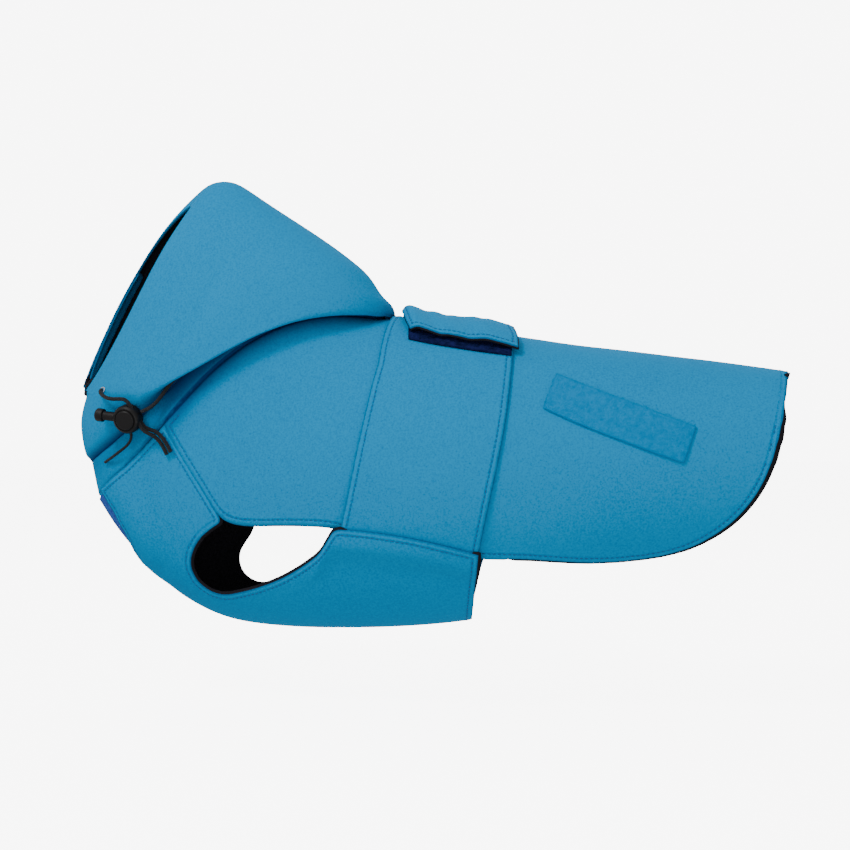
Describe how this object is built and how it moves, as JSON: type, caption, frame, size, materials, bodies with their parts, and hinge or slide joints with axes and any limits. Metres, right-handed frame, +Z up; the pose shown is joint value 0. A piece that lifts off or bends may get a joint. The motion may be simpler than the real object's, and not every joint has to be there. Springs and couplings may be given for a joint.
{
  "type": "dog raincoat",
  "caption": "Hooded softshell coat for a small dog, filled out and empty, with a belt flap, front leg holes and a draw cord with its lock.",
  "frame": {"origin": "inside of the back panel, on the spine under the middle of the belt, where the dog's back carries the coat", "axes": "-X towards the head, +X towards the tail, -Y to the wearer's own left side, +Z up"},
  "size_m": [0.5031, 0.1572, 0.3182],
  "materials": {
    "blue softshell": "matte woven face with a black fleece back",
    "dark tape": "hook and loop tape, dark navy pile",
    "violet tape": "loop tape, violet blue pile",
    "blue tape": "loop tape, blue pile",
    "black plastic": "moulded, slight sheen",
    "elastic cord": "braided black elastic",
    "eyelet steel": "bright pressed metal"
  },
  "bodies": {
    "coat": {"back_panel": "blue softshell", "chest_left": "blue softshell", "chest_right": "blue softshell", "belt_left": "blue softshell", "belt_right": "blue softshell", "hood_left": "blue softshell", "hood_right": "blue softshell", "hood_casing_left": "blue softshell", "hood_casing_right": "blue softshell", "collar": "blue softshell", "belt_loop_tape": "dark tape", "belt_hook_tape": "dark tape", "closure_tape": "violet tape", "tail_patch": "blue tape", "cord_lock": "black plastic", "eyelet": "eyelet steel", "front_cord": "elastic cord", "loose_cord": "elastic cord", "rear_cord": "elastic cord", "lock_retainer": "elastic cord"},
    "button": {"lock_button": "black plastic"}
  },
  "joints": [
    {"name": "lock_press", "type": "slide", "parent": "coat", "child": "button", "axis": [0.9804, -0.1514, -0.1261], "range_m": [0, 0.005], "stiffness_N_per_m": 400, "springref_m": -0.003}
  ]
}
